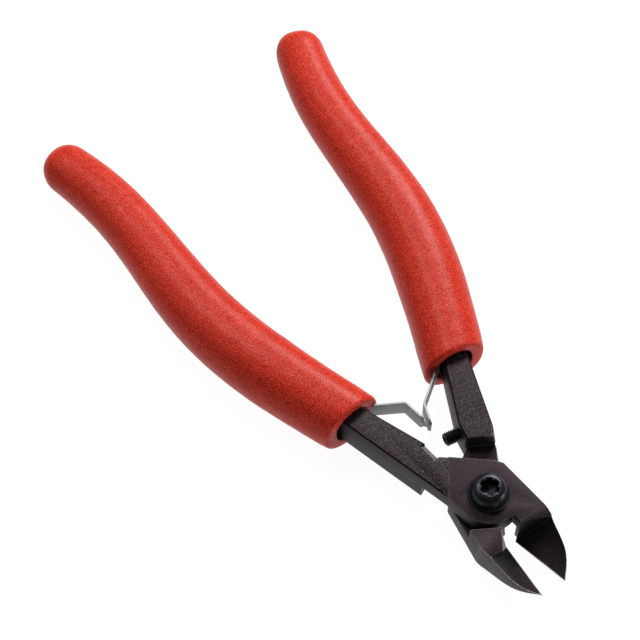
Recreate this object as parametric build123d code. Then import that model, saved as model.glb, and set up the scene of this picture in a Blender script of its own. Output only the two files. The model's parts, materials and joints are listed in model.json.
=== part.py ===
from build123d import *
from math import atan2, cos, degrees, radians, sin
import os

# Diagonal cutting pliers with a lap joint, two leaf springs and cushion grips, lying flat and resting open.
# Millimetres. The origin is on the pivot axis, in the flat back face of the joint.
# +Z points out through the screw's head, +Y from the pivot towards the blades' tips.
# Each lever is drawn closed, with its handle at +X and its blade at -X, and meets the other on the plane x = 0.
# The rear lever is mirrored in that plane. Both are then turned by half the opening to the rest pose.

# ---- driving dimensions ----
THICKNESS = 8.2              # of the joint, over its ground faces
TANG_DROP = 0.1              # how far the rough tang faces lie below the ground joint faces
LAP_GAP = 0.05               # between the two halves of the lap joint
OPENING = 14.2               # degrees between closed and rest, shared equally by the levers

TANG_ROOT = (2.0, -12.8)     # where the plate's slanted back edge meets the tang's inner edge
PLATE_CORNER_LOW = (-6.1, -4.9)     # the two ends of the cut corner behind the plate's straight side
PLATE_CORNER_HIGH = (-7.15, -3.2)
PLATE_SIDE_END = (-7.15, 8.6)       # where the straight side turns into the blade
PLATE_RADIUS = 6.6           # the round side of a joint plate
TANG_NECK = (6.75, -4.7)     # where the round side turns into the tang's outer edge
TANG_STEP_IN = (-3.0, -15.1)        # line of the step from full to half thickness, at the tang
TANG_STEP_OUT = (9.0, -10.6)
GROUND_LINE_IN = (0.52, -11.54)     # line where a tang's rough face meets the ground joint face
GROUND_LINE_OUT = (6.68, -4.52)

BLADE_REACH = 22.7           # pivot to the tips
BLADE_BELLY = ((-6.35, 12.2), (-3.8, 19.0))   # points that the blade's outer curve passes
EDGE_START = 9.0             # pivot to the start of the cutting edges
EDGE_GAP = 0.03              # from the closing plane to each cutting edge
EDGE_LAND = 0.1              # height of the flat left on each cutting edge
THROAT_GAP = 0.9             # from the closing plane to each side of the throat
THROAT_END = 8.4
BLADE_STEP_IN = (2.0, 8.8)   # line of the step up from the lap to a full-height blade
BLADE_STEP_OUT = (-9.0, 4.6)
RELIEF_RISE = 4.6            # how much higher the flush faces are at the tips than at the edges' start
HOLLOW_RADIUS = 11.1         # of the hollow-ground bevels
FRONT_EDGE_ANGLE = 20.5      # degrees between bevel and flush face, at the edge
REAR_EDGE_ANGLE = 23.0
FRONT_GRIND_SLANT = 28.8     # degrees in plan between the front bevel's end wall and the X axis
FRONT_GRIND_START = 8.1      # where that wall crosses the closing plane
REAR_GRIND_TOP = 12.3        # where the rear bevel's leaning end wall meets the blade's top face
REAR_THROAT_TOP = ((-1.9, 8.9), (-3.0, 11.3))  # top edge of the facet beside the rear blade's throat
STOP_FACET = 1.5             # width of the facet above the flat that the stop screw meets

TANG_FLAT_END = (2.15, -16.8)
TANG_WIDTH_MOUTH = 5.3
TANG_WIDTH_END = 4.0

# the handle's centre line: grip mouth, widest point, waist, end
HANDLE_LINE = ((9.2, -31.3), (16.8, -72.0), (14.7, -106.0), (17.7, -129.3))
HANDLE_START_SLOPE = 0.27
HANDLE_END_SLOPE = 0.24
TANG_SHARE = 0.86            # how much of that line the steel reaches
# grip sections, evenly spaced from the mouth to where the end starts to round: width, height
GRIP_SECTIONS = (
    (14.3, 14.3),
    (14.6, 14.6),
    (15.2, 14.7),
    (15.0, 14.2),
    (14.4, 13.5),
    (13.5, 12.9),
    (12.7, 12.4),
    (12.2, 11.8),
    (11.6, 11.2),
)
GRIP_ROUND_START = 0.94      # share of the handle's line
GRIP_END = ((0.3, 0.97), (0.6, 0.84), (0.85, 0.6), (1.0, 0.3))  # share of the rounded end, share of full width
MOUTH_WALL = 1.9             # foam left round the open mouth
POCKET_SHARE = 0.14          # how much of the handle's line the open mouth reaches

HEAD_RADIUS = 3.95
HEAD_HEIGHT = 2.9
HEAD_SIDE = 0.6              # upright part of the head's side
HEAD_TOP_RADIUS = 2.5
SCREW_SHOULDER_RADIUS = 2.75
SCREW_THREAD_RADIUS = 2.5
SCREW_END_RECESS = 0.4       # of the threaded end, below the joint's back face
SOCKET_CORE_RADIUS = 1.7
SOCKET_LOBE_RADIUS = 0.5
SOCKET_DEPTH = 2.0
RUNNING_CLEARANCE = 0.05
WASHER_RADIUS = 4.3
WASHER_THICKNESS = 0.4

STOP_RADIUS = 1.5
STOP_LENGTH = 8.0
STOP_Y = -16.4
STOP_TIP = 1.1               # x of the stop screw's tip, closed
STOP_KEY_RADIUS = 0.87       # centre to corner of its hex socket
STOP_KEY_DEPTH = 1.6

SPRING_THICKNESS = 0.5
SPRING_HEIGHT = 4.4
SPRING_SEAT_GAP = 0.15       # between a strip and its tang
SPRING_NOTCH = 0.4           # foam cut away on each side of a strip, in the grip's rim
SPRING_BASE = (0.12, 0.01)   # shares of the handle's line where a strip's fixed end starts and leaves the tang
FRONT_BEND = (1.5, -27.3)    # at rest
REAR_BEND = (-1.6, -25.0)
SPRING_BEND_RADIUS = 1.0
FRONT_STRIP_END = (0.55, -22.0)     # at rest, where the front strip narrows to its tongue
TONGUE_END = (-0.8, -20.85)
TONGUE_HEIGHT = 1.7
REAR_STRIP_END = (-0.05, -20.3)
SLOT_CENTRE = (-0.37, -21.2)
SLOT_LENGTH = 1.0
SLOT_HEIGHT = 2.3
RIVET_RADIUS = 0.8
RIVET_HEAD_RADIUS = 1.4
RIVET_HEAD_HEIGHT = 0.6
RIVET_DEPTH = 2.2
RIVET_SHARES = (0.055, 0.1)

# ---- derived ----
LAP = THICKNESS / 2
LAP_TOP = LAP + LAP_GAP / 2
LAP_BOTTOM = LAP - LAP_GAP / 2
RELIEF_SLOPE = degrees(atan2(RELIEF_RISE, BLADE_REACH - EDGE_START))
BIG = 60.0
FRONT, REAR = 1, -1

handle_line = Spline(*HANDLE_LINE, tangents=[(HANDLE_START_SLOPE, -1), (HANDLE_END_SLOPE, -1)])


def beside_line(share, offset=0.0):
    """A point beside the handle's centre line, at a share of its length. Positive offsets are outward."""
    at = handle_line @ share
    along = handle_line % share
    return (at.X - along.Y * offset, at.Y + along.X * offset)


def tang_width(share):
    return TANG_WIDTH_MOUTH + (TANG_WIDTH_END - TANG_WIDTH_MOUTH) * share / TANG_SHARE


def prism(edges, bottom, top):
    """An upright solid on a closed outline."""
    return extrude(Pos(0, 0, bottom) * make_face(edges), amount=top - bottom)


def at_rest(shape, side):
    """A part drawn closed with its handle at +X, moved to the rest pose of the front or the rear lever."""
    if side == REAR:
        shape = mirror(shape, about=Plane.YZ)
    return Rot(0, 0, side * OPENING / 2) * shape


# ---- levers ----
def lever_outline():
    shares = [TANG_SHARE * step / 5 for step in range(6)]
    outer = [beside_line(share, tang_width(share) / 2) for share in shares]
    inner = [beside_line(share, -tang_width(share) / 2) for share in shares]
    throat_low = (-THROAT_GAP, (PLATE_RADIUS**2 - THROAT_GAP**2) ** 0.5)
    round_middle = (PLATE_RADIUS * sin(radians(42)), PLATE_RADIUS * cos(radians(42)))
    edges = Polyline(inner[0], TANG_FLAT_END, TANG_ROOT, PLATE_CORNER_LOW, PLATE_CORNER_HIGH, PLATE_SIDE_END)
    edges += Spline(PLATE_SIDE_END, *BLADE_BELLY, (-EDGE_GAP, BLADE_REACH), tangents=[(0, 1), (0.75, 0.6)])
    edges += Polyline(
        (-EDGE_GAP, BLADE_REACH), (-EDGE_GAP, EDGE_START), (-THROAT_GAP, THROAT_END), throat_low
    )
    edges += ThreePointArc(throat_low, round_middle, (PLATE_RADIUS, 0))
    edges += Polyline((PLATE_RADIUS, 0), TANG_NECK, outer[0])
    edges += Spline(*outer)
    edges += ThreePointArc(outer[-1], beside_line(TANG_SHARE + 0.02), inner[-1])
    edges += Spline(*reversed(inner))
    return edges


def lap_region():
    """The plan area where a lever is only half as thick."""
    return Polyline(
        BLADE_STEP_IN,
        BLADE_STEP_OUT,
        (-BIG / 2, TANG_STEP_IN[1]),
        TANG_STEP_IN,
        TANG_STEP_OUT,
        (TANG_STEP_OUT[0], BLADE_STEP_IN[1]),
        close=True,
    )


def flush_relief():
    """Everything under the flush face, which rises from the edges' start to the tips."""
    block = Box(BIG, BIG, BIG, align=(Align.CENTER, Align.MIN, Align.MAX))
    return Pos(0, EDGE_START, 0) * Rot(RELIEF_SLOPE, 0, 0) * block


def hollow_grind(angle):
    """The wheel's cylinder, parallel to the cutting edge, that cuts a bevel down to the edge's land."""
    wheel = Cylinder(HOLLOW_RADIUS, BIG)
    across = HOLLOW_RADIUS * sin(radians(angle)) - EDGE_GAP
    above = HOLLOW_RADIUS * cos(radians(angle)) + EDGE_LAND
    return Pos(across, EDGE_START, 0) * Rot(RELIEF_SLOPE, 0, 0) * Pos(0, 0, above) * Rot(90, 0, 0) * wheel


def front_ground_region():
    """Where the front blade is ground: beyond an upright wall that slants across the blade."""
    block = Box(BIG, BIG, BIG, align=(Align.CENTER, Align.MIN, Align.CENTER))
    return Pos(0, FRONT_GRIND_START, 0) * Rot(0, 0, -FRONT_GRIND_SLANT) * block


def rear_ground_region():
    """Where the rear blade is ground: beyond a wall that leans towards the tip."""
    lean = degrees(atan2(REAR_GRIND_TOP - EDGE_START, THICKNESS))
    block = Box(BIG, BIG, BIG, align=(Align.CENTER, Align.MIN, Align.CENTER))
    return Pos(0, EDGE_START, 0) * Rot(-lean, 0, 0) * block


def rear_throat_facet():
    """The steep facet between the rear blade's throat and its top face."""
    (low_x, low_y), (high_x, high_y) = REAR_THROAT_TOP
    foot = Vector(-EDGE_GAP, EDGE_START, 0)
    low = Vector(low_x, low_y, THICKNESS)
    high = Vector(high_x, high_y, THICKNESS)
    inward = (high - low).cross(foot - low)
    if inward.X < 0:
        inward = inward * -1
    block = Box(BIG, BIG, BIG, align=(Align.CENTER, Align.CENTER, Align.MIN))
    return Plane(origin=foot, z_dir=inward) * block - rear_ground_region()


def tang_drops():
    """The layers above and below a tang, which lie a little under the ground faces of the joint."""
    beyond = Polyline(
        GROUND_LINE_IN,
        GROUND_LINE_OUT,
        (BIG, GROUND_LINE_OUT[1]),
        (BIG, -3 * BIG),
        (-BIG, -3 * BIG),
        (-BIG, 2 * GROUND_LINE_IN[1]),
        close=True,
    )
    return prism(beyond, -1, TANG_DROP) + prism(beyond, THICKNESS - TANG_DROP, THICKNESS + 1)


def stop_facet():
    """The slanted facet above the flat that the stop screw meets."""
    size = STOP_FACET * 2**0.5
    middle = (TANG_ROOT[1] + TANG_FLAT_END[1]) / 2
    length = TANG_ROOT[1] - TANG_FLAT_END[1]
    return Pos(TANG_ROOT[0], middle, THICKNESS) * Rot(0, 45, 0) * Box(size, length, size)


def rivet_place(share):
    """The frame of one rivet: its origin on the tang's inner face, its Z out of that face."""
    x, y = beside_line(share, -tang_width(share) / 2)
    along = handle_line % share
    return Plane(origin=(x, y, LAP), x_dir=(along.X, along.Y, 0), z_dir=(along.Y, -along.X, 0))


def rivet(share):
    strip_face = SPRING_SEAT_GAP + SPRING_THICKNESS
    shank = Pos(0, 0, -RIVET_DEPTH) * Cylinder(
        RIVET_RADIUS, RIVET_DEPTH + strip_face, align=(Align.CENTER, Align.CENTER, Align.MIN)
    )
    head = Pos(0, 0, strip_face) * Cylinder(
        RIVET_HEAD_RADIUS, RIVET_HEAD_HEIGHT, align=(Align.CENTER, Align.CENTER, Align.MIN)
    )
    head = fillet(head.faces().sort_by(Axis.Z)[-1].edges(), RIVET_HEAD_HEIGHT * 0.7)
    return rivet_place(share) * (shank + head)


def stop_axis():
    """The stop screw's frame, closed: its origin at the tip, its Z from the tip back into the rear tang."""
    return Plane(origin=(-STOP_TIP, STOP_Y, LAP), x_dir=(0, 0, 1), z_dir=(1, 0, 0))


def bore(radius):
    return Cylinder(radius, BIG)


rivets = [rivet(share) for share in RIVET_SHARES]


def front_lever():
    solid = prism(lever_outline(), 0, THICKNESS) - prism(lap_region(), -1, LAP_TOP)
    solid -= tang_drops()
    solid -= flush_relief()
    solid -= hollow_grind(FRONT_EDGE_ANGLE) & front_ground_region()
    solid -= stop_facet()
    solid -= bore(SCREW_SHOULDER_RADIUS + RUNNING_CLEARANCE)
    return solid - rivets


def rear_lever():
    tapped_hole = stop_axis() * Cylinder(STOP_RADIUS + RUNNING_CLEARANCE, BIG)
    solid = prism(lever_outline(), 0, THICKNESS) - prism(lap_region(), LAP_BOTTOM, THICKNESS + 1)
    solid -= tang_drops()
    solid -= flush_relief()
    solid -= hollow_grind(REAR_EDGE_ANGLE) & rear_ground_region()
    solid -= rear_throat_facet()
    solid -= bore(SCREW_THREAD_RADIUS)
    return solid - tapped_hole - rivets


# ---- joint screw ----
def pivot_washer():
    ring = Circle(WASHER_RADIUS) - Circle(SCREW_SHOULDER_RADIUS + RUNNING_CLEARANCE)
    return extrude(Pos(0, 0, THICKNESS + RUNNING_CLEARANCE) * ring, amount=WASHER_THICKNESS)


def pivot_screw():
    seat = THICKNESS + RUNNING_CLEARANCE + WASHER_THICKNESS
    top = seat + HEAD_HEIGHT
    dome_start = (HEAD_RADIUS, seat + HEAD_SIDE)
    dome_end = (HEAD_TOP_RADIUS, top)
    profile = Polyline(
        dome_end,
        (0, top),
        (0, SCREW_END_RECESS),
        (SCREW_THREAD_RADIUS, SCREW_END_RECESS),
        (SCREW_THREAD_RADIUS, LAP_BOTTOM),
        (SCREW_SHOULDER_RADIUS, LAP_BOTTOM),
        (SCREW_SHOULDER_RADIUS, seat),
        (HEAD_RADIUS, seat),
        dome_start,
    )
    dome = RadiusArc(dome_start, dome_end, -HEAD_RADIUS * 0.75)
    solid = revolve(Plane.XZ * make_face(profile + dome), axis=Axis.Z)
    lobes = PolarLocations(SOCKET_CORE_RADIUS, 6) * Circle(SOCKET_LOBE_RADIUS)
    socket = Circle(SOCKET_CORE_RADIUS) + lobes
    return solid - extrude(Pos(0, 0, top - SOCKET_DEPTH) * socket, amount=SOCKET_DEPTH + 1)


# ---- stop screw ----
def stop_screw():
    shank = Cylinder(STOP_RADIUS, STOP_LENGTH, align=(Align.CENTER, Align.CENTER, Align.MIN))
    shank = chamfer(shank.edges().filter_by(GeomType.CIRCLE), 0.25)
    key = Pos(0, 0, STOP_LENGTH - STOP_KEY_DEPTH) * extrude(
        RegularPolygon(STOP_KEY_RADIUS, 6), amount=STOP_KEY_DEPTH + 1
    )
    return stop_axis() * (shank - key)


# ---- leaf springs, drawn at rest ----
def strip(points, height, thickness=SPRING_THICKNESS):
    """A flat strip on edge, along a path in plan, at the middle of the tool's thickness."""
    bends = len(points) - 2
    path = FilletPolyline(*points, radius=[SPRING_BEND_RADIUS] * bends) if bends else Line(*points)
    return Pos(0, 0, LAP - height / 2) * extrude(trace(path, thickness), amount=height)


def strip_base(side):
    """The two ends of a strip's fixed length, at rest, beside the tang's inner face."""
    points = []
    for share in SPRING_BASE:
        offset = tang_width(share) / 2 + SPRING_SEAT_GAP + SPRING_THICKNESS / 2
        x, y = beside_line(share, -offset)
        turn = radians(side * OPENING / 2)
        x = side * x
        points.append((x * cos(turn) - y * sin(turn), x * sin(turn) + y * cos(turn)))
    return points


def front_spring():
    body = strip([*strip_base(FRONT), FRONT_BEND, FRONT_STRIP_END], SPRING_HEIGHT)
    tongue = strip([FRONT_STRIP_END, TONGUE_END], TONGUE_HEIGHT)
    return body + tongue - [at_rest(piece, FRONT) for piece in rivets]


def rear_spring():
    body = strip([*strip_base(REAR), REAR_BEND, REAR_STRIP_END], SPRING_HEIGHT)
    lean = degrees(atan2(REAR_STRIP_END[0] - REAR_BEND[0], REAR_STRIP_END[1] - REAR_BEND[1]))
    slot = Box(2, SLOT_LENGTH, SLOT_HEIGHT)
    body -= Pos(*SLOT_CENTRE, LAP) * Rot(0, 0, -lean) * slot
    return body - [at_rest(piece, REAR) for piece in rivets]


# ---- grips ----
def section(share, width, height):
    """An oval section of a grip, square across the handle's line. The mouth's is square across the tool."""
    at = handle_line @ share
    along = handle_line % share if share > 0 else Vector(0, -1)
    place = Plane(origin=(at.X, at.Y, LAP), x_dir=(-along.Y, along.X, 0), z_dir=(along.X, along.Y, 0))
    return place * Ellipse(width / 2, height / 2)


def grip_body():
    spaces = len(GRIP_SECTIONS) - 1
    sleeve = [section(GRIP_ROUND_START * place / spaces, *size) for place, size in enumerate(GRIP_SECTIONS)]
    width, height = GRIP_SECTIONS[-1]
    end = [sleeve[-1]]
    for along, shrink in GRIP_END:
        share = GRIP_ROUND_START + (1 - GRIP_ROUND_START) * along
        end.append(section(share, width * shrink, height * shrink))
    return loft(sleeve) + loft(end)


def mouth_pocket():
    wall = 2 * MOUTH_WALL
    return loft([section(share, GRIP_SECTIONS[0][0] - wall, GRIP_SECTIONS[0][1] - wall) for share in (0, POCKET_SHARE)])


def spring_notch(side, bend):
    """The foam cut away, at rest, where a strip passes the grip's rim."""
    return strip([*strip_base(side), bend], SPRING_HEIGHT + 2 * SPRING_NOTCH, SPRING_THICKNESS + 2 * SPRING_NOTCH)


grip_drawn = grip_body() - mouth_pocket()
levers = {FRONT: front_lever(), REAR: rear_lever()}

parts = {
    "front_lever": at_rest(levers[FRONT], FRONT),
    "rear_lever": at_rest(levers[REAR], REAR),
    "pivot_screw": pivot_screw(),
    "pivot_washer": pivot_washer(),
    "stop_screw": at_rest(stop_screw(), REAR),
    "front_spring": front_spring(),
    "rear_spring": rear_spring(),
    "front_spring_rivets": Compound([at_rest(piece, FRONT).solid() for piece in rivets]),
    "rear_spring_rivets": Compound([at_rest(piece, REAR).solid() for piece in rivets]),
    "front_grip": at_rest(grip_drawn - levers[FRONT], FRONT) - spring_notch(FRONT, FRONT_BEND),
    "rear_grip": at_rest(grip_drawn - levers[REAR], REAR) - spring_notch(REAR, REAR_BEND),
}

os.makedirs("parts", exist_ok=True)
for name, shape in parts.items():
    shape.label = name
    export_step(shape, f"parts/{name}.step")
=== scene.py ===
import json
from math import ceil, cos, pi, radians, sin, sqrt

import bmesh
import bpy
import numpy as np
from mathutils import Matrix, Vector


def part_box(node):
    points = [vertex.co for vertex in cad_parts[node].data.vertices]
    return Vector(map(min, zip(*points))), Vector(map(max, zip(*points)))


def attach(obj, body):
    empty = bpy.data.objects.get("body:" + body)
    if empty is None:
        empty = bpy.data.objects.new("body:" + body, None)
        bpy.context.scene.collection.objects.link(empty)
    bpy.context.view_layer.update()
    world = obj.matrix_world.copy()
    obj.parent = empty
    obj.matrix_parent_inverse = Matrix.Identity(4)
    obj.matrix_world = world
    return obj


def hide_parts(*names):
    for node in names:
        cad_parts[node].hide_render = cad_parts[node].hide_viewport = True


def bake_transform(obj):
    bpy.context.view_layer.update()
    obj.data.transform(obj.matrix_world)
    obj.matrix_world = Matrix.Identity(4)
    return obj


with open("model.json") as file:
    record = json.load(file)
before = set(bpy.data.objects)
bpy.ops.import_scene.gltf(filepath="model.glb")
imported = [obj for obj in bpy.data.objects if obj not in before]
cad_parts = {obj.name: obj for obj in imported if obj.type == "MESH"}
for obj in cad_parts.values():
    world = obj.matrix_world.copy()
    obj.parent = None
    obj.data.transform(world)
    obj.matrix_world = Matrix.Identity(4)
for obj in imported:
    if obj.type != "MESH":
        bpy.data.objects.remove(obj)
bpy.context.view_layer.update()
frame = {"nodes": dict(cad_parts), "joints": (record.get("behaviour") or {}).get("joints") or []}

MM = 0.001
FRONT, REAR = 1, -1
SIDES = {FRONT: "front", REAR: "rear"}
BODY = {FRONT: "front_half", REAR: "rear_half"}

# ---- sizes that the CAD model shares, in mm ----
THICKNESS = 8.2              # of the joint, over its ground faces
MIDDLE = THICKNESS / 2
HALF_OPENING = radians(14.2 / 2)
HANDLE_LINE = [(9.2, -31.3), (16.8, -72.0), (14.7, -106.0), (17.7, -129.3)]   # closed, handle at +X
HANDLE_SLOPES = (0.27, 0.24)
GROUND_LINE = ((0.52, -11.54), (6.68, -4.52))   # where a tang's rough face meets the ground joint
TANG_WIDTH = (5.3, 4.0)      # at the grip's mouth and at the tang's end
TANG_SHARE = 0.86            # how much of the handle's line the steel reaches
RUNNING_CLEARANCE = 0.05
WASHER_THICKNESS = 0.4


def turned(x, y, angle):
    return x * cos(angle) - y * sin(angle), x * sin(angle) + y * cos(angle)


def at_rest(point, side):
    """A point drawn closed with the handle at +X, in mm, moved to a lever's rest pose, in metres."""
    x, y, z = point
    return Vector((*turned(x * side, y, side * HALF_OPENING), z)) * MM


def drawn(point, side):
    """The opposite of at_rest."""
    x, y = turned(point[0] / MM, point[1] / MM, -side * HALF_OPENING)
    return Vector((x * side, y, point[2] / MM))


# ---- the handle's centre line: a clamped cubic through four points ----
SPAN_SAMPLES = 60            # between two of the points
DIRECTION_REACH = 0.7        # to each side of a place whose direction is taken


def clamped_cubic(points, slopes):
    points = np.array(points, float)
    chords = np.linalg.norm(np.diff(points, axis=0), axis=1)
    count = len(points)
    rows = np.zeros((count, count))
    right = np.zeros((count, 2))
    for place, slope in zip((0, -1), slopes):
        end = np.array([slope, -1.0])
        rows[place, place] = 1
        right[place] = end / np.linalg.norm(end)
    for i in range(1, count - 1):
        before, after = chords[i - 1], chords[i]
        step_in, step_out = points[i] - points[i - 1], points[i + 1] - points[i]
        rows[i, i - 1 : i + 2] = after, 2 * (before + after), before
        right[i] = 3 * (after * step_in / before + before * step_out / after)
    tangents = np.linalg.solve(rows, right)
    samples = []
    for i, chord in enumerate(chords):
        for t in np.linspace(0, 1, SPAN_SAMPLES, endpoint=i == len(chords) - 1):
            h00, h10 = 2 * t**3 - 3 * t**2 + 1, t**3 - 2 * t**2 + t
            h01, h11 = -2 * t**3 + 3 * t**2, t**3 - t**2
            at_start = h00 * points[i] + h10 * chord * tangents[i]
            samples.append(at_start + h01 * points[i + 1] + h11 * chord * tangents[i + 1])
    return np.array(samples)


LINE = clamped_cubic(HANDLE_LINE, HANDLE_SLOPES)
LINE_AT = np.concatenate([[0], np.cumsum(np.linalg.norm(np.diff(LINE, axis=0), axis=1))])
LINE_LENGTH = LINE_AT[-1]


def on_line(distance):
    """The handle line's point and direction at a distance from the grip's mouth, in mm."""
    def point(at):
        return np.array([np.interp(at, LINE_AT, LINE[:, 0]), np.interp(at, LINE_AT, LINE[:, 1])])
    ahead = point(min(distance + DIRECTION_REACH, LINE_LENGTH))
    along = ahead - point(max(distance - DIRECTION_REACH, 0))
    return point(distance), along / np.linalg.norm(along)


# ---- materials: noise scales are in cells per metre ----
OXIDE = (1.15, 0.92, 1.06)   # the faint warm violet of black oxide
OXIDE_WARM = (1.22, 0.88, 1.08)
BLUED = (1.0, 0.97, 1.25)
WHITE = (1.0, 1.0, 1.0)
MIX_SHARE, MIX_LOW, MIX_HIGH, MIX_RESULT = 0, 6, 7, 2   # the colour sockets of a Mix node


def node_material(name):
    material = bpy.data.materials.new(name)
    material.use_nodes = True
    tree = material.node_tree
    tree.nodes.clear()
    out = tree.nodes.new("ShaderNodeOutputMaterial")
    shader = tree.nodes.new("ShaderNodeBsdfPrincipled")
    tree.links.new(shader.outputs["BSDF"], out.inputs["Surface"])
    return material, tree, shader


def add(tree, kind, inputs=(), **settings):
    node = tree.nodes.new(kind)
    for key, value in settings.items():
        setattr(node, key, value)
    for key, value in dict(inputs).items():
        socket = node.inputs[key]
        if isinstance(value, bpy.types.NodeSocket):
            tree.links.new(value, socket)
        else:
            socket.default_value = value
    return node


def noise(tree, scale, detail, roughness, stretch=None):
    place = add(tree, "ShaderNodeTexCoord").outputs["Object"]
    if stretch:
        turn, scales = stretch
        place = add(tree, "ShaderNodeMapping", {"Vector": place, "Rotation": turn, "Scale": scales}).outputs[0]
    inputs = {"Vector": place, "Scale": scale, "Detail": detail, "Roughness": roughness}
    return add(tree, "ShaderNodeTexNoise", inputs).outputs["Fac"]


def ramp(tree, source, stops):
    made = add(tree, "ShaderNodeValToRGB", {"Fac": source})
    elements = made.color_ramp.elements
    while len(elements) < len(stops):
        elements.new(0.5)
    for element, (place, colour) in zip(elements, stops):
        element.position = place
        element.color = colour
    return made.outputs["Color"]


def grey(value, tint=WHITE):
    return (*(value * part for part in tint), 1.0)


def mixed(tree, share, low, high, blend="MIX"):
    inputs = {MIX_SHARE: share, MIX_LOW: low, MIX_HIGH: high}
    return add(tree, "ShaderNodeMix", inputs, data_type="RGBA", blend_type=blend).outputs[MIX_RESULT]


def shaded(tree, colour, source, darkest, low=0.3, high=0.7):
    """The colour, darkened where the source is low."""
    return mixed(tree, 1.0, colour, ramp(tree, source, [(low, grey(darkest)), (high, grey(1.0))]), "MULTIPLY")


def ranged(tree, source, low, high):
    return add(tree, "ShaderNodeMapRange", {"Value": source, "To Min": low, "To Max": high}).outputs[0]


def bumped(tree, height, strength, distance, normal=None):
    inputs = {"Height": height, "Strength": strength, "Distance": distance * MM}
    if normal is not None:
        inputs["Normal"] = normal
    return add(tree, "ShaderNodeBump", inputs).outputs["Normal"]


def dress(tree, shader, colour, roughness, normal):
    for name, source in (("Base Color", colour), ("Roughness", roughness), ("Normal", normal)):
        tree.links.new(source, shader.inputs[name])


def steel(name, tones, grain, rough, bump, specular=0.25, tint=OXIDE, spread=0.14, specks=0.0, scratches=None):
    """Black-oxide steel: grain of one size, with lighter specks and a ground lay where it has them."""
    material, tree, shader = node_material(name)
    fine = noise(tree, grain, 2.0, 0.6)
    dark, middle, light = (grey(tone, tint) for tone in tones)
    colour = ramp(tree, fine, [(0.5 - spread, dark), (0.5, middle), (0.5 + spread, light)])
    if specks:
        spots = noise(tree, grain * 1.2, 1.0, 0.5)
        share = ramp(tree, spots, [(0.6, grey(0.0)), (0.7, grey(1.0))])
        colour = mixed(tree, share, colour, grey(specks, tint))
    colour = shaded(tree, colour, noise(tree, 160.0, 3.0, 0.5), 0.75)
    height = fine
    if scratches:
        lay = noise(tree, scratches["scale"], 3.0, 0.6, stretch=(scratches["turn"], scratches["stretch"]))
        colour = shaded(tree, colour, lay, 0.55, 0.35, 0.65)
        height = mixed(tree, 0.6, fine, lay)
    shader.inputs["Specular IOR Level"].default_value = specular
    shader.inputs["Specular Tint"].default_value = grey(0.9, tint)
    dress(tree, shader, colour, ranged(tree, fine, *rough), bumped(tree, height, bump, 0.1))
    return material


def edge_wear_and_highlight(name, tones):
    """Edges painted lighter in patches: oxide rubbed thin and painted highlight."""
    material, tree, shader = node_material(name)
    patches = noise(tree, 900.0, 3.0, 0.6)
    dark, middle, light = (grey(tone, OXIDE) for tone in tones)
    colour = ramp(tree, patches, [(0.36, dark), (0.5, middle), (0.66, light)])
    shader.inputs["Specular IOR Level"].default_value = 0.5
    dress(tree, shader, colour, ranged(tree, patches, 0.5, 0.36), bumped(tree, patches, 0.15, 0.05))
    return material


def foam():
    """Red foam with fine pores whose light specks are partly painted glints, a coarser unevenness and faint
    clouds.
    """
    material, tree, shader = node_material("foam_red")
    fine = noise(tree, 4300.0, 2.0, 0.7)
    coarse = noise(tree, 700.0, 3.0, 0.5)
    cloud = noise(tree, 60.0, 2.0, 0.5)
    dark, middle, light = (0.32, 0.009, 0.003, 1.0), (0.49, 0.020, 0.008, 1.0), (0.68, 0.075, 0.045, 1.0)
    # the light stop of the pores' ramp paints glints as well as grain
    colour = ramp(tree, fine, [(0.40, dark), (0.5, middle), (0.60, light)])
    colour = shaded(tree, colour, coarse, 0.86)
    colour = shaded(tree, colour, cloud, 0.94)
    shader.inputs["Specular IOR Level"].default_value = 0.08
    uneven = bumped(tree, coarse, 0.1, 0.1)
    dress(tree, shader, colour, ranged(tree, fine, 0.40, 0.28), bumped(tree, fine, 0.16, 0.1, uneven))
    return material


def spring_metal():
    """Bare spring steel, rolled along the strip."""
    material, tree, shader = node_material("spring_satin")
    lay = noise(tree, 260.0, 3.0, 0.6, stretch=((0, 0, 0), (1, 1, 14)))
    colour = ramp(tree, lay, [(0.3, grey(0.24)), (0.7, grey(0.35))])
    colour = shaded(tree, colour, noise(tree, 300.0, 3.0, 0.5), 0.85)
    shader.inputs["Metallic"].default_value = 0.8
    dress(tree, shader, colour, ranged(tree, lay, 0.48, 0.62), bumped(tree, lay, 0.2, 0.05))
    return material


def screw_metal(name, dark, light, rough, specular):
    material, tree, shader = node_material(name)
    cloud = noise(tree, 500.0, 3.0, 0.55)
    fine = noise(tree, 3500.0, 2.0, 0.5)
    colour = ramp(tree, cloud, [(0.35, grey(dark, BLUED)), (0.7, grey(light, BLUED))])
    shader.inputs["Specular IOR Level"].default_value = specular
    shader.inputs["Specular Tint"].default_value = (0.88, 0.9, 1.0, 1.0)
    dress(tree, shader, colour, ranged(tree, cloud, *rough), bumped(tree, fine, 0.12, 0.04))
    return material


blasted = steel("steel_blasted", tones=(0.001, 0.006, 0.026), grain=2800.0, rough=(0.5, 0.62), bump=1.0,
                specular=0.22, spread=0.1, specks=0.1)
ground = steel("steel_ground", tones=(0.001, 0.003, 0.007), grain=2800.0, rough=(0.46, 0.56), bump=0.45,
               specular=0.18, tint=OXIDE_WARM, specks=0.025)
# side walls get their own tone of the steel, set for the light they get: painted shade
wall_painted_shade = steel("steel_wall_painted_shade", tones=(0.004, 0.007, 0.011), grain=2600.0, rough=(0.46, 0.56), bump=0.35,
             specular=0.2)
blade_side = steel("steel_blade_side", tones=(0.010, 0.017, 0.026), grain=2600.0, rough=(0.44, 0.54), bump=0.35,
                   specks=0.06)
bevel = steel("steel_bevel", tones=(0.004, 0.008, 0.015), grain=3000.0, rough=(0.4, 0.5), bump=0.3,
              specular=0.15, specks=0.03,
              scratches={"scale": 700.0, "turn": (0, 0, radians(25)), "stretch": (1, 10, 1)})
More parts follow.
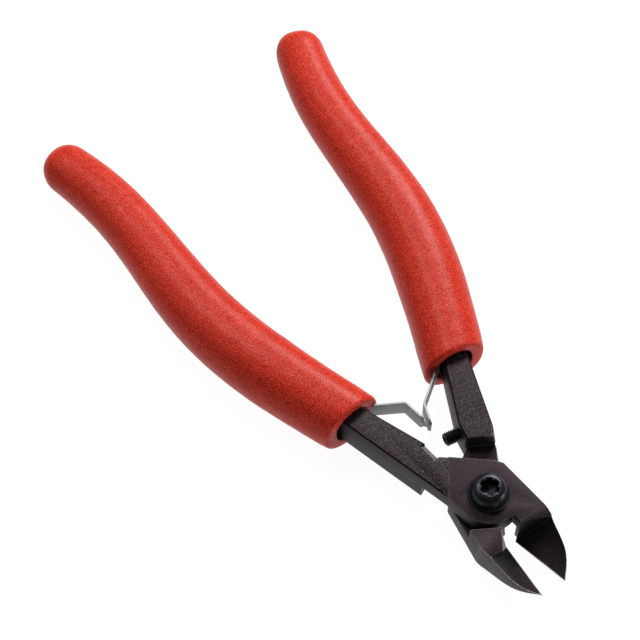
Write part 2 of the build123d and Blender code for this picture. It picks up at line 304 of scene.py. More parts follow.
# the blade tips' rounded edges are painted light: rubbed oxide and painted highlight
tip_edge_wear_and_highlight = edge_wear_and_highlight("steel_edge", (0.16, 0.30, 0.45))
# the joint's rounded edges are painted a little lighter: painted highlight and rubbed oxide
plate_edge_wear_and_highlight = edge_wear_and_highlight("steel_edge_plate", (0.005, 0.02, 0.08))
# the tang's rounded edges are painted near black: painted shade where they reflect dark
tang_edge_painted_shade = steel("steel_tang_edge_painted_shade", tones=(0.001, 0.003, 0.006), grain=2600.0, rough=(0.5, 0.6), bump=0.6,
                  specular=0.1)
# the stop's facet and the rear blade's throat facet are painted light grey: painted highlight
facet_painted_highlight = steel("steel_facet_painted_highlight", tones=(0.08, 0.14, 0.21), grain=2600.0, rough=(0.42, 0.52), bump=0.3,
              specular=0.3, tint=(1.0, 0.96, 1.0))
foam_red = foam()
spring_satin = spring_metal()
screw_black = screw_metal("screw_black", dark=0.003, light=0.009, rough=(0.26, 0.36), specular=0.22)
stop_black = screw_metal("stop_black", dark=0.002, light=0.006, rough=(0.42, 0.55), specular=0.25)


# ---- mesh helpers ----
def new_object(name, bm, materials, sharp_from=None):
    """A smooth piece made from bm. Edges sharper than sharp_from, in degrees, stay sharp."""
    mesh = bpy.data.meshes.new(name)
    bmesh.ops.recalc_face_normals(bm, faces=bm.faces)
    bm.to_mesh(mesh)
    bm.free()
    for material in materials:
        mesh.materials.append(material)
    piece = bpy.data.objects.new(name, mesh)
    bpy.context.scene.collection.objects.link(piece)
    smooth(piece, sharp_from)
    return piece


def smooth(piece, sharp_from=None):
    piece.data.shade_smooth()
    if sharp_from:
        piece.data.set_sharp_from_angle(angle=radians(sharp_from))


def modifier(piece, name, kind, **settings):
    made = piece.modifiers.new(name, kind)
    for key, value in settings.items():
        setattr(made, key, value)


def apply_modifiers(piece):
    depsgraph = bpy.context.evaluated_depsgraph_get()
    mesh = bpy.data.meshes.new_from_object(piece.evaluated_get(depsgraph))
    piece.modifiers.clear()
    piece.data = mesh


def turns(count):
    return [2 * pi * i / count for i in range(count)]


def circle(radius, z, around):
    """A ring of points about the pivot's axis."""
    return [Vector((radius * cos(turn), radius * sin(turn), z)) * MM for turn in turns(around)]


def ring_surface(bm, rings, closed=False):
    """Quads between rings of points. Closed ends get a point in the middle."""
    made = [[bm.verts.new(point) for point in ring] for ring in rings]
    for low, high in zip(made, made[1:]):
        for i in range(len(low)):
            j = (i + 1) % len(low)
            bm.faces.new((low[i], low[j], high[j], high[i]))
    for ring in (made[0], made[-1]) if closed else ():
        middle = bm.verts.new(sum((v.co for v in ring), Vector()) / len(ring))
        for i in range(len(ring)):
            bm.faces.new((ring[i], ring[(i + 1) % len(ring)], middle))


# ---- levers: the CAD shape with rounded edges, its faces split by finish, some painted with highlight and shade ----
BLASTED, GROUND, WALL_SHADE, BLADE_SIDE, BEVEL, EDGE, EDGE_PLATE, TANG_EDGE_SHADE, FACET_HIGHLIGHT = range(9)
STEELS = (blasted, ground, wall_painted_shade, blade_side, bevel, tip_edge_wear_and_highlight, plate_edge_wear_and_highlight, tang_edge_painted_shade, facet_painted_highlight)

MERGE_DISTANCE = 0.002       # mm, between vertices of the CAD mesh that are one corner
FLAT_ANGLE = 0.6             # degrees, between triangles that are one face

# how much of a face's normal points up or down
UPRIGHT = 0.7                # at most, for a side wall
LEVEL = 0.99                 # at least, for a tang's rough face
STOP_FACET_SLOPE = (0.3, 0.97)
THROAT_FACET_SLOPE = 0.3
BEVEL_SLOPE = (0.08, 0.995)
END_WALL_FACING = 0.75       # at least this much of an end wall's normal points along Y

# places on a lever drawn closed, in mm
STOP_FACET_Y = (-21, -12)
THROAT_FACET_X = 3.2
THROAT_FACET_Y = (3.5, 11)
THROAT_FACET_Z = 4
BEVEL_START = 8.5
BLADE_SIDE_START = 6
ROUGH_START = -3
END_WALL_X = -6.9
BRIGHT_EDGES_START = 12.8          # from here to the tips, edges are painted bright: rubbed oxide and painted highlight
BRIGHT_EDGES_OUTER = (-5.8, 9)     # and from here on the rear blade's outer side
TANG_EDGES_END = -13
BLADE_EDGES_START = 9
CUTTING_EDGE_X = 0.2
TANG_START = -17
LAP_REACH = 3.5              # above and below the joint's middle
ROUGH_INSIDE = -4            # of ground_side, for edges inside the rough faces

RIM_ANGLE = 6                # degrees, the least that is rounded between a bevel and the outer side
SHARP_ANGLE = 25             # and the least elsewhere

ROUND_WIDTH = 0.45           # mm, of a rounded edge of weight 1
ROUND_SEGMENTS = 4
TANG_WEIGHT = 0.8
JOINT_WEIGHT = 0.25
RIM_WEIGHT = 0.3             # between a bevel and the blade's outer side
CRISP_WEIGHT = 0.12          # on the blades and round the facets


def ground_side(x, y):
    """Positive on the joint's side of the line between rough tang and ground joint."""
    (x0, y0), (x1, y1) = GROUND_LINE
    return (x1 - x0) * (y - y0) - (y1 - y0) * (x - x0)


def finish_of(face, side):
    """The finish of a face of the CAD shape, from its place and slope; facets get painted highlight and side
    walls painted shade.
    """
    at = drawn(face.calc_center_median(), side)
    slope = abs(face.normal.z)
    by_stop = STOP_FACET_Y[0] < at.y < STOP_FACET_Y[1]
    # the stop's facet and the rear blade's throat facet are painted light: painted highlight
    if side == FRONT and by_stop and STOP_FACET_SLOPE[0] < face.normal.z < STOP_FACET_SLOPE[1]:
        return FACET_HIGHLIGHT
    by_throat = THROAT_FACET_Y[0] < at.y < THROAT_FACET_Y[1] and abs(at.x) < THROAT_FACET_X
    if side == REAR and by_throat and slope < THROAT_FACET_SLOPE and at.z > THROAT_FACET_Z:
        return FACET_HIGHLIGHT
    if at.y > BEVEL_START and BEVEL_SLOPE[0] < slope < BEVEL_SLOPE[1]:
        return BEVEL
    if slope < UPRIGHT and at.y > BLADE_SIDE_START:
        end_wall = side == FRONT and abs(face.normal.y) > END_WALL_FACING and at.x > END_WALL_X
        return BEVEL if end_wall else BLADE_SIDE
    # side walls take a copy of the steel toned for the light they get: painted shade
    if slope < UPRIGHT:
        return WALL_SHADE
    on_rough = ground_side(at.x, at.y) < 0 and at.y < ROUGH_START and slope > LEVEL
    return BLASTED if on_rough else GROUND


def edge_weight(edge, side):
    """How far an edge is rounded, from the finishes beside it and its place."""
    finishes = {face.material_index for face in edge.link_faces}
    ground_rim = finishes == {BEVEL, BLADE_SIDE}
    if edge.calc_face_angle(0) < radians(RIM_ANGLE if ground_rim else SHARP_ANGLE):
        return 0.0
    if ground_rim:
        return RIM_WEIGHT
    if FACET_HIGHLIGHT in finishes:
        return CRISP_WEIGHT
    at = drawn((edge.verts[0].co + edge.verts[1].co) / 2, side)
    if at.y > BLADE_EDGES_START:
        on_cutting_edge = abs(at.x) < CUTTING_EDGE_X
        return 0.0 if on_cutting_edge else CRISP_WEIGHT
    off_lap = abs(at.z - MIDDLE) > LAP_REACH
    on_tang = at.y < TANG_START or (ground_side(at.x, at.y) < ROUGH_INSIDE and off_lap)
    return TANG_WEIGHT if on_tang else JOINT_WEIGHT


def lever(side):
    node = SIDES[side] + "_lever"
    bm = bmesh.new()
    bm.from_mesh(frame["nodes"][node].data)
    bmesh.ops.remove_doubles(bm, verts=bm.verts, dist=MERGE_DISTANCE * MM)
    bmesh.ops.dissolve_limit(bm, angle_limit=radians(FLAT_ANGLE), verts=bm.verts, edges=bm.edges)
    for face in bm.faces:
        face.material_index = finish_of(face, side)
    weight = bm.edges.layers.float.new("bevel_weight_edge")
    for edge in bm.edges:
        if len(edge.link_faces) == 2:
            edge[weight] = edge_weight(edge, side)
    piece = new_object(SIDES[side] + "_lever_steel", bm, STEELS)
    modifier(piece, "round", "BEVEL", width=ROUND_WIDTH * MM, segments=ROUND_SEGMENTS, limit_method="WEIGHT",
             profile=0.5, use_clamp_overlap=False, harden_normals=False, miter_outer="MITER_ARC", material=EDGE)
    apply_modifiers(piece)
    # rounded edges short of the bright tips: the tang's get painted shade, the joint's a lighter painted
    # highlight
    for face in piece.data.polygons:
        at = drawn(face.center, side)
        on_outer = side == REAR and at.y > BRIGHT_EDGES_OUTER[1] and at.x < BRIGHT_EDGES_OUTER[0]
        if face.material_index == EDGE and not (at.y > BRIGHT_EDGES_START or on_outer):
            face.material_index = TANG_EDGE_SHADE if at.y < TANG_EDGES_END else EDGE_PLATE
    smooth(piece, sharp_from=32)
    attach(piece, BODY[side])
    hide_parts(node)


# ---- grips, in mm ----
# distance from the mouth, size
GRIP_WIDTHS = [(0, 14.1), (13, 14.5), (22, 15.1), (30, 15.0), (38, 14.8), (46, 14.4), (54, 13.9),
               (60, 13.3), (68, 12.7), (76, 12.4), (84, 12.0), (90, 11.6), (100, 11.0)]
GRIP_HEIGHTS = [(0, 14.2), (13, 14.5), (22, 14.6), (30, 14.3), (38, 13.9), (50, 13.2), (60, 12.7),
                (70, 12.2), (84, 11.5), (90, 10.9), (100, 10.2)]
TABLE_SAMPLES = 200
TABLE_BLUR = 15              # samples to each side
GRIP_SHORT = 1.0             # by which the foam ends before the handle's line
GRIP_END_ROUND = 6.0         # length of the rounded end
GRIP_END_SQUARE = 2.4        # exponent of its profile
GRIP_SQUARE = 2.25           # exponent of the oval sections
GRIP_AROUND = 150
CAVITY_RINGS, LIP_RINGS, RIM_FACE_RINGS, RIM_RINGS, END_RINGS = 24, 5, 4, 8, 34
GRIP_STEP = 0.3
MOUTH_TURN = 6               # over which the sections turn from square across the tool to across the line
MOUTH_WALL = (2.9, 2.1)      # beside and above the opening
RIM_ROUND = 0.8
LIP_ROUND = 0.5              # of the opening's own edge
CAVITY_DEPTH = 12.0
CAVITY_END = (6.2, 9.4)      # width and height at the cavity's bottom, close round the tang
CAVITY_TAPER = 1.5
FOAM_RELIEF = (("pores", 0.4, 2, 0.035), ("skin", 3.0, 1, 0.08))   # name, size, octaves, height


def smooth_curve(table):
    """A smooth function through a short table of values."""
    xs, ys = zip(*table)
    fine = np.linspace(xs[0], xs[-1], TABLE_SAMPLES)
    kernel = np.hanning(2 * TABLE_BLUR + 1)
    padded = np.pad(np.interp(fine, xs, ys), TABLE_BLUR, mode="edge")
    values = np.convolve(padded, kernel / kernel.sum(), "valid")

    def value(at):
        return float(np.interp(at, fine, values))
    return value


grip_width = smooth_curve(GRIP_WIDTHS)
grip_height = smooth_curve(GRIP_HEIGHTS)


def oval(distance, width, height, side):
    """A ring of a grip's section at a distance from the mouth."""
    at, along = on_line(max(distance, 0.0))
    if distance < MOUTH_TURN:
        share = max(distance, 0) / MOUTH_TURN
        straight = np.array([0.0, -1.0])
        along = straight * (1 - share) + along * share
        along /= np.linalg.norm(along)
    at = at + along * min(distance, 0.0)
    across = np.array([-along[1], along[0]])
    ring = []
    for turn in turns(GRIP_AROUND):
        c, s = cos(turn), sin(turn)
        reach = (abs(c) ** GRIP_SQUARE + abs(s) ** GRIP_SQUARE) ** (-1 / GRIP_SQUARE)
        x, z = reach * c * width / 2, reach * s * height / 2
        ring.append(at_rest((at[0] + across[0] * x, at[1] + across[1] * x, MIDDLE + z), side))
    return ring


def grip_sections():
    """Distance from the mouth, width and height: up the cavity, over the rim, along the sleeve to its end."""
    outer_w, outer_h = grip_width(0), grip_height(0)
    mouth_w, mouth_h = outer_w - 2 * MOUTH_WALL[0], outer_h - 2 * MOUTH_WALL[1]
    sections = []
    for share in np.linspace(1, 0, CAVITY_RINGS):
        deep = share ** CAVITY_TAPER
        width, height = mouth_w + (CAVITY_END[0] - mouth_w) * deep, mouth_h + (CAVITY_END[1] - mouth_h) * deep
        sections.append((LIP_ROUND + share * CAVITY_DEPTH, width, height))
    for turn in np.linspace(0, pi / 2, LIP_RINGS)[1:]:
        grow = LIP_ROUND * (1 - cos(turn))
        sections.append((LIP_ROUND - LIP_ROUND * sin(turn), mouth_w + 2 * grow, mouth_h + 2 * grow))
    for share in np.linspace(0, 1, RIM_FACE_RINGS)[1:]:
        w0, h0 = mouth_w + 2 * LIP_ROUND, mouth_h + 2 * LIP_ROUND
        w1, h1 = outer_w - 2 * RIM_ROUND, outer_h - 2 * RIM_ROUND
        sections.append((0, w0 + (w1 - w0) * share, h0 + (h1 - h0) * share))
    for turn in np.linspace(0, pi / 2, RIM_RINGS)[1:]:
        shrink = RIM_ROUND * (1 - sin(turn))
        sections.append((RIM_ROUND * (1 - cos(turn)), outer_w - 2 * shrink, outer_h - 2 * shrink))
    straight_end = LINE_LENGTH - GRIP_SHORT - GRIP_END_ROUND
    steps = ceil((straight_end - RIM_ROUND) / GRIP_STEP)
    for i in range(1, steps + 1):
        at = RIM_ROUND + (straight_end - RIM_ROUND) * i / steps
        sections.append((at, grip_width(at), grip_height(at)))
    for turn in np.linspace(0, pi / 2, END_RINGS)[1:-1]:
        reach = (cos(turn) ** GRIP_END_SQUARE + sin(turn) ** GRIP_END_SQUARE) ** (-1 / GRIP_END_SQUARE)
        at = straight_end + GRIP_END_ROUND * sin(turn) * reach
        shrink = cos(turn) * reach
        sections.append((at, grip_width(at) * shrink, grip_height(at) * shrink))
    return sections


def grip(side):
    name = SIDES[side] + "_grip"
    bm = bmesh.new()
    ring_surface(bm, [oval(*section, side) for section in grip_sections()], closed=True)
    piece = new_object(name + "_foam", bm, [foam_red])
    for label, size, octaves, height in FOAM_RELIEF:
        texture = bpy.data.textures.new(name + label, "CLOUDS")
        texture.noise_scale = size * MM
        texture.noise_depth = octaves
        modifier(piece, label, "DISPLACE", texture=texture, strength=height * MM, mid_level=0.5,
                 texture_coords="LOCAL")
    apply_modifiers(piece)
    smooth(piece)
    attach(piece, BODY[side])
    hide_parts(name)


# ---- leaf springs, in mm at rest ----
SPRING_THICKNESS = 0.5
SPRING_HEIGHT = 4.4
SPRING_SEAT_GAP = 0.15       # between a strip and its tang
SPRING_BASE = (0.12, 0.01)   # shares of the handle's line where a strip starts and where it leaves the tang
SPRING_BEND = {FRONT: (1.5, -27.3), REAR: (-1.6, -25.0)}
BEND_RADIUS = {FRONT: 0.7, REAR: 0.9}
BEND_STEPS = 8
PATH_STEP = 0.25
STRIP_END = {FRONT: (0.55, -22.0), REAR: (-0.05, -20.3)}
STRIP_STEP = 0.22
STATION_GAP = 0.1            # the least between two stations along a strip
TONGUE_END = (-0.8, -20.85)
TONGUE_HEIGHT = 1.7
TONGUE_TAPER = (0.9, 0.1)    # how far before the tongue the front strip starts and stops narrowing
TONGUE_SHOULDER = 0.35       # left of that step where the tongue starts
SLOT_CENTRE = (-0.37, -21.2)
SLOT_LENGTH = 1.0
SLOT_HEIGHT = 2.3
SLOT_MOST = 0.62             # the most of a strip's height that its middle rows take
STRIP_ROWS = 5               # of faces across a strip's height; the slot is in the middle three
REAR_END = (1.3, 0.45)       # length of the rounded end, share of the height left at its tip
TONGUE_TIP = (0.5, 0.5)
STRIP_ROUND = 0.09


def beside_tang(share, side):
    """Where a strip lies along its tang, at a share of the handle's line."""
    at, along = on_line(share * LINE_LENGTH)
    width = TANG_WIDTH[0] + (TANG_WIDTH[1] - TANG_WIDTH[0]) * share / TANG_SHARE
    offset = width / 2 + SPRING_SEAT_GAP + SPRING_THICKNESS / 2
    x, y = at[0] + along[1] * offset, at[1] - along[0] * offset
    return Vector(at_rest((x, y, 0), side) / MM).xy


def rounded_path(points, radius):
    """Points along a polyline whose corners are arcs."""
    points = [Vector(p) for p in points]
    out = [points[0]]
    for before, corner, after in zip(points, points[1:], points[2:]):
        u, v = (before - corner).normalized(), (after - corner).normalized()
        half = u.angle(v) / 2
        reach = radius / np.tan(half)
        centre = corner + (u + v).normalized() * (radius / sin(half))
        first, last = corner + u * reach - centre, corner + v * reach - centre
        sweep = first.angle_signed(last)
        for i in range(BEND_STEPS + 1):
            out.append(centre + Matrix.Rotation(-sweep * i / BEND_STEPS, 2) @ first)
    out.append(points[-1])
    fine = [out[0]]
    for a, b in zip(out, out[1:]):
        count = max(1, ceil((b - a).length / PATH_STEP))
        fine += [a.lerp(b, (i + 1) / count) for i in range(count)]
    return fine


def along_path(path):
    """The length of a path up to each of its points."""
    at = [0.0]
    for a, b in zip(path, path[1:]):
        at.append(at[-1] + (b - a).length)
    return at


def beside_path(path, at, s, z, offset):
    """A point at a length along a path, a height from the tool's middle and a distance beside it, in metres."""
    i = max(min(int(np.searchsorted(at, s, side="right")) - 1, len(path) - 2), 0)
    a, b = path[i], path[i + 1]
    share = (s - at[i]) / (b - a).length
    before, after = path[max(i - 1, 0)], path[min(i + 2, len(path) - 1)]
    along = ((b - before).normalized() * (1 - share) + (after - a).normalized() * share).normalized()
    point = a.lerp(b, share) + Vector((-along.y, along.x)) * offset
    return Vector((point.x, point.y, MIDDLE + z)) * MM


def rounded_end(left, reach, blunt):
    """The share of its height that a strip has where this much of its length is left."""
    if left > reach:
        return 1.0
    return blunt + (1 - blunt) * sqrt(max(0.0, 1 - (1 - left / reach) ** 2))


def half_height(side, s, total, taper):
    full, small = SPRING_HEIGHT / 2, TONGUE_HEIGHT / 2
    if side == REAR:
        return full * rounded_end(total - s, *REAR_END)
    start, end = taper
    if s < start:
        return full
    if s < end:
        share = (s - start) / (end - start)
        shoulder = small + TONGUE_SHOULDER
        return shoulder + (full - shoulder) * sqrt(max(0, 1 - share**2))
    return small * rounded_end(total - s, *TONGUE_TIP)


def strip_mesh(side, path):
    """A strip on edge along its path: the rear one with its slot, the front one with its tongue."""
    at = along_path(path)
    total = at[-1]
    if side == REAR:
        slot_at = total - (Vector(STRIP_END[REAR]) - Vector(SLOT_CENTRE)).length
        low, high = slot_at - SLOT_LENGTH / 2, slot_at + SLOT_LENGTH / 2
    else:
        tongue_at = total - (Vector(TONGUE_END) - Vector(STRIP_END[FRONT])).length
        low, high = (tongue_at - before for before in TONGUE_TAPER)
    even = {round(float(s), 4) for s in np.linspace(0, total, ceil(total / STRIP_STEP))}
    stations = sorted({s for s in even if min(abs(s - low), abs(s - high)) > STATION_GAP} | {low, high})

    def heights(s):
        half = half_height(side, s, total, (low, high))
        inner = min(SLOT_HEIGHT / 2, half * SLOT_MOST)
        return [-half, -inner, -inner / 2, inner / 2, inner, half]

    def in_slot(i, j):
        middle = (stations[i] + stations[i + 1]) / 2
        return side == REAR and 0 < j < STRIP_ROWS - 1 and low < middle < high

    bm = bmesh.new()
    inside, outside = (
        [[bm.verts.new(beside_path(path, at, s, z, offset)) for z in heights(s)] for s in stations]
        for offset in (-SPRING_THICKNESS / 2, SPRING_THICKNESS / 2)
    )
    places = [(i, j) for i in range(len(stations) - 1) for j in range(STRIP_ROWS)]
    cells = {place for place in places if not in_slot(*place)}
    for i, j in sorted(cells):
        for layer in (inside, outside):
            bm.faces.new((layer[i][j], layer[i + 1][j], layer[i + 1][j + 1], layer[i][j + 1]))
        corners = {(-1, 0): ((i, j), (i, j + 1)), (1, 0): ((i + 1, j), (i + 1, j + 1)),
                   (0, -1): ((i, j), (i + 1, j)), (0, 1): ((i, j + 1), (i + 1, j + 1))}
        for (di, dj), ((a, b), (c, d)) in corners.items():
            if (i + di, j + dj) not in cells:
                bm.faces.new((inside[a][b], inside[c][d], outside[c][d], outside[a][b]))
    return bm


def spring(side):
    name = SIDES[side] + "_spring"
    seat, leaves = (beside_tang(share, side) for share in SPRING_BASE)
    corners = [seat, leaves, SPRING_BEND[side], STRIP_END[side]]
    if side == FRONT:
        corners.append(TONGUE_END)
    bm = strip_mesh(side, rounded_path(corners, BEND_RADIUS[side]))
    piece = new_object(name + "_strip", bm, [spring_satin])
    modifier(piece, "round", "BEVEL", width=STRIP_ROUND * MM, segments=3, limit_method="ANGLE",
             angle_limit=radians(50))
    apply_modifiers(piece)
    smooth(piece, sharp_from=40)
    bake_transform(piece)
    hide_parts(name)


def rivets(side):
    """The rivets stay the CAD's own, in the springs' metal."""
    materials = frame["nodes"][SIDES[side] + "_spring_rivets"].data.materials
    materials.clear()
    materials.append(spring_satin)


# ---- pivot screw and washer, in mm ----
WASHER_BOTTOM = THICKNESS + RUNNING_CLEARANCE
WASHER_TOP = WASHER_BOTTOM + WASHER_THICKNESS
WASHER_RADIUS = 4.3
WASHER_BORE = 2.8
WASHER_AROUND = 128
HEAD_RADIUS = 3.95
HEAD_HEIGHT = 2.9
HEAD_SIDE = 0.12             # upright part of the head's side
HEAD_TOP = WASHER_TOP + HEAD_HEIGHT
HEAD_AROUND = 144
CROWN_RADIUS = 2.4           # where the dome reaches the head's top
CROWN_LIP = 2.32
DOME_STEPS = 14
DOME_POWER = 1.1
DOME_SHARE = 0.985           # how much of the head's height the dome takes
SOCKET_DEPTH = 1.9
SOCKET_RADIUS = 1.82
SOCKET_WAVE = (0.2, 0.04)    # depth of the six lobes, and how much their crests are flattened
SOCKET_RIM = ((0.14, 0.0), (0.09, 0.03), (0.04, 0.1), (0.0, 0.3))   # growth, depth below the top
SOCKET_WALL = (0.3, 0.6, 0.95)      # shares of the wall below the rim
SOCKET_DRAFT = 0.03          # how much the wall closes in
SOCKET_FLOOR_EDGE = 0.1      # how far inside the rim the floor starts
SOCKET_FLOOR = ((0.0, 1.0), (0.1, 0.7), (0.35, 0.3))    # extra depth, share of the radius
SOCKET_INSIDE = 2.15         # the faces within this radius are the socket's


def socket_ring(grow, depth, shrink=1.0):
    """A ring with the socket's six lobes, at a depth below the head's top."""
    wave, crest = SOCKET_WAVE
    ring = []
    for turn in turns(HEAD_AROUND):
        radius = (SOCKET_RADIUS + wave * cos(6 * turn) - crest * cos(12 * turn) + grow) * shrink
        ring.append(Vector((radius * cos(turn), radius * sin(turn), HEAD_TOP - depth)) * MM)
    return ring


def pivot_head():
    shank = [(2.35, 0.4), (2.48, 0.55), (2.48, 4.0), (2.72, 4.12), (2.72, WASHER_TOP - 0.02)]
    head = [(3.5, 0), (HEAD_RADIUS - 0.04, 0), (HEAD_RADIUS, 0.04), (HEAD_RADIUS, HEAD_SIDE)]
    profile = shank + [(radius, WASHER_TOP + z) for radius, z in head]
    for i in range(1, DOME_STEPS + 1):
        turn = pi / 2 * i / DOME_STEPS
        radius = CROWN_RADIUS + (HEAD_RADIUS - CROWN_RADIUS) * cos(turn) ** DOME_POWER
        profile.append((radius, WASHER_TOP + HEAD_SIDE + (HEAD_HEIGHT - HEAD_SIDE) * sin(turn) * DOME_SHARE))
    profile.append((CROWN_LIP, HEAD_TOP - 0.01))
    rings = [circle(radius, z, HEAD_AROUND) for radius, z in profile]
    rings += [socket_ring(grow, depth) for grow, depth in SOCKET_RIM]
    rim_depth = SOCKET_RIM[-1][1]
    for share in SOCKET_WALL:
        rings.append(socket_ring(-SOCKET_DRAFT * share, rim_depth + (SOCKET_DEPTH - rim_depth) * share))
    rings += [socket_ring(-SOCKET_FLOOR_EDGE, SOCKET_DEPTH + extra, shrink) for extra, shrink in SOCKET_FLOOR]
    bm = bmesh.new()
    ring_surface(bm, rings, closed=True)
    # the socket's inside gets the darker, rougher black: painted shade in the recess
    for face in bm.faces:
        at = face.calc_center_median() / MM
        if at.xy.length < SOCKET_INSIDE and WASHER_TOP < at.z < HEAD_TOP - 0.25:
            face.material_index = 1
    piece = new_object("pivot_screw_head", bm, [screw_black, stop_black], sharp_from=50)
    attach(piece, "rear_half")
    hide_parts("pivot_screw")


def washer():
    inner = [(0.0, WASHER_BOTTOM), (0.0, WASHER_TOP - 0.08), (0.08, WASHER_TOP)]
    rim = [(0.42, WASHER_TOP), (0.26, WASHER_TOP - 0.04), (0.1, WASHER_TOP - 0.16), (0.02, WASHER_TOP - 0.28),
           (0.0, WASHER_BOTTOM + 0.05), (0.05, WASHER_BOTTOM + 0.01)]
    profile = [(WASHER_BORE + out, z) for out, z in inner] + [(WASHER_RADIUS - back, z) for back, z in rim]
    rings = [circle(radius, z, WASHER_AROUND) for radius, z in profile + profile[:1]]
    bm = bmesh.new()
    ring_surface(bm, rings)
    bmesh.ops.remove_doubles(bm, verts=bm.verts, dist=0.0005 * MM)
    piece = new_object("pivot_washer_ring", bm, [stop_black], sharp_from=35)
    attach(piece, "rear_half")
    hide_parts("pivot_washer")


# ---- stop screw, in mm ----
STOP_RADIUS = 1.5
STOP_LENGTH = 8.0
STOP_PITCH = 0.5
STOP_AROUND = 48
STOP_PER_PITCH = 10          # rings along each turn of the thread
STOP_THREAD_DEPTH = 0.3
STOP_TIP = ((0.0, 0.3), (0.04, 0.6), (0.12, 0.85), (0.24, 1.04))    # depth, radius of the rounded tip
STOP_THREAD_START = 7        # rings from the tip
THREAD_FLANK = 2.6           # steepness of the ridges' sides
THREAD_ROOT = 0.15           # how wide the grooves' bottoms are
THREAD_RUN_IN = (0.1, 0.5)   # behind the tip, where the thread starts, and the length it fades in over
THREAD_RUN_OUT = 0.3         # the length it fades out over
STOP_KEY = 0.75              # the hex socket's centre to its flats
STOP_KEY_DEPTH = 1.6
STOP_KEY_EDGE = (0.06, 0.08)        # growth and depth of the socket's bevelled edge


def thread_radius(depth, turn):
    """The thread's radius at a depth behind the tip. It fades out at both ends."""
    phase = (depth / STOP_PITCH - turn / (2 * pi)) % 1.0
    ridge = min(1.0, max(0.0, abs(phase - 0.5) * THREAD_FLANK - THREAD_ROOT))
    start, length = THREAD_RUN_IN
    fade = min(1.0, max(0.0, (depth - start) / length), max(0.0, (STOP_LENGTH - depth) / THREAD_RUN_OUT))
    return STOP_RADIUS - STOP_THREAD_DEPTH * (1 - ridge * fade)


def hexagon(turn):
    folded = (turn + pi / 6) % (pi / 3) - pi / 6
    return STOP_KEY / cos(folded)


def stop_screw():
    low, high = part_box("stop_screw")
    slide = next(joint for joint in frame["joints"] if joint["name"] == "stop_screw_travel")
    out = Vector(slide["axis"]).normalized()
    tip = (low + high) / 2 + out * (STOP_LENGTH / 2 * MM)
    up = Vector((0, 0, 1))
    basis = Matrix((out, up, out.cross(up))).transposed()

    def ring(depth, radius_of):
        made = []
        for turn in turns(STOP_AROUND):
            radius = radius_of(turn)
            made.append(tip + basis @ (Vector((-depth, radius * cos(turn), radius * sin(turn))) * MM))
        return made

    rings = [ring(depth, lambda turn: radius) for depth, radius in STOP_TIP]
    for i in range(STOP_THREAD_START, int(STOP_LENGTH / STOP_PITCH * STOP_PER_PITCH)):
        depth = i / STOP_PER_PITCH * STOP_PITCH
        rings.append(ring(depth, lambda turn: thread_radius(depth, turn)))
    grow, bevel_depth = STOP_KEY_EDGE
    rings.append(ring(STOP_LENGTH, lambda turn: STOP_RADIUS - STOP_THREAD_DEPTH - 0.1))
    rings.append(ring(STOP_LENGTH, lambda turn: hexagon(turn) + grow))
    rings.append(ring(STOP_LENGTH - bevel_depth, hexagon))
    rings.append(ring(STOP_LENGTH - STOP_KEY_DEPTH, hexagon))
    bm = bmesh.new()
    ring_surface(bm, rings, closed=True)
    piece = new_object("stop_screw_threaded", bm, [stop_black], sharp_from=50)
    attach(piece, "stop_screw_body")
    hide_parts("stop_screw")


for side in (FRONT, REAR):
    lever(side)
    grip(side)
    spring(side)
    rivets(side)
pivot_head()
washer()
stop_screw()

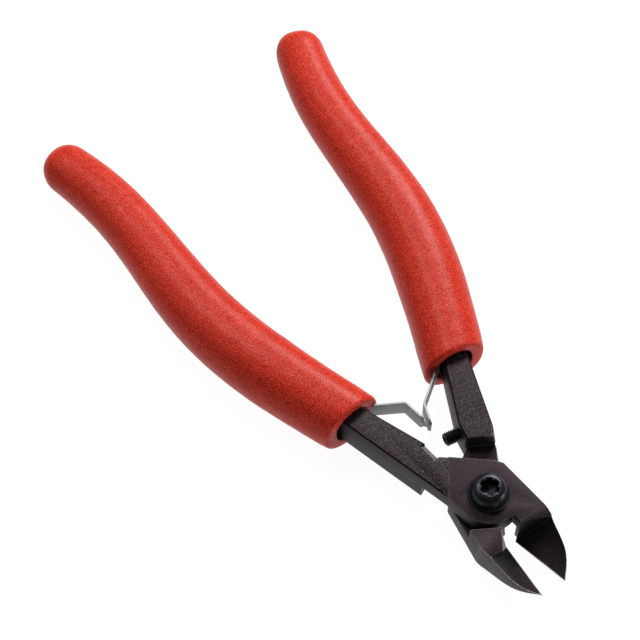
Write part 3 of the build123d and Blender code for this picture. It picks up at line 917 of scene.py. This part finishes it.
# ---- floor, light, camera ----
VIEW_UP = radians(58.8)      # the camera's elevation
VIEW_DISTANCE = 379.75 * MM
VIEW_TARGET = Vector((4.95, -55.08, 4.1)) * MM
VIEW_RIGHT = Vector((-0.8396, 0.5432, 0))
VIEW_AWAY = Vector((-VIEW_RIGHT.y, VIEW_RIGHT.x, 0))
SENSOR_WIDTH = 36.0
LENS = 98.44
FLOOR_GAP = 0.1 * MM         # below the grips
FLOOR_HALF = 1.5
WORLD_STRENGTH = 0.13
LIGHTS = (                   # name; right, away and up from the target in metres; size; watts
    ("key", (0.2, 0.5, 0.46), 0.24, 5.4),
    ("back", (-0.22, 0.42, 0.88), 0.22, 4.0),
    ("fill", (-0.6, 0.1, 0.5), 0.5, 0.75),
    ("side", (0.8, -0.22, 0.15), 0.25, 2.8),
)


def floor():
    material, tree, shader = node_material("floor_paper")
    paper = ramp(tree, noise(tree, 30.0, 2.0, 0.5), [(0.3, grey(0.08)), (0.7, grey(0.09))])
    tree.links.new(paper, shader.inputs["Base Color"])
    shader.inputs["Emission Color"].default_value = (1.0, 1.0, 1.0, 1)
    shader.inputs["Emission Strength"].default_value = 0.96
    shader.inputs["Roughness"].default_value = 0.8
    shader.inputs["Specular IOR Level"].default_value = 0.1
    bm = bmesh.new()
    bmesh.ops.create_grid(bm, x_segments=8, y_segments=8, size=FLOOR_HALF)
    piece = new_object("floor", bm, [material])
    piece.location.z = min(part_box(SIDES[side] + "_grip")[0].z for side in (FRONT, REAR)) - FLOOR_GAP


def aimed(name, data, place):
    """An object at a place, turned to the view's target."""
    made = bpy.data.objects.new(name, data)
    made.location = place
    made.rotation_euler = (VIEW_TARGET - made.location).to_track_quat("-Z", "Y").to_euler()
    bpy.context.scene.collection.objects.link(made)
    return made


def area_light(name, offset, size, power):
    right, away, up = offset
    data = bpy.data.lights.new(name, "AREA")
    data.shape = "SQUARE"
    data.size = size
    data.energy = power
    aimed(name, data, VIEW_TARGET + VIEW_RIGHT * right + VIEW_AWAY * away + Vector((0, 0, up)))


def studio_world():
    world = bpy.data.worlds.new("studio")
    world.use_nodes = True
    background = world.node_tree.nodes["Background"]
    background.inputs["Color"].default_value = (1.0, 1.0, 1.0, 1)
    background.inputs["Strength"].default_value = WORLD_STRENGTH
    bpy.context.scene.world = world


def camera():
    data = bpy.data.cameras.new("camera")
    data.sensor_width = SENSOR_WIDTH
    data.lens = LENS
    data.clip_start = 0.01
    towards = -VIEW_AWAY * cos(VIEW_UP) + Vector((0, 0, sin(VIEW_UP)))
    bpy.context.scene.camera = aimed("camera", data, VIEW_TARGET + towards * VIEW_DISTANCE)


floor()
studio_world()
for light in LIGHTS:
    area_light(*light)
camera()
bpy.context.scene.view_settings.view_transform = "Standard"
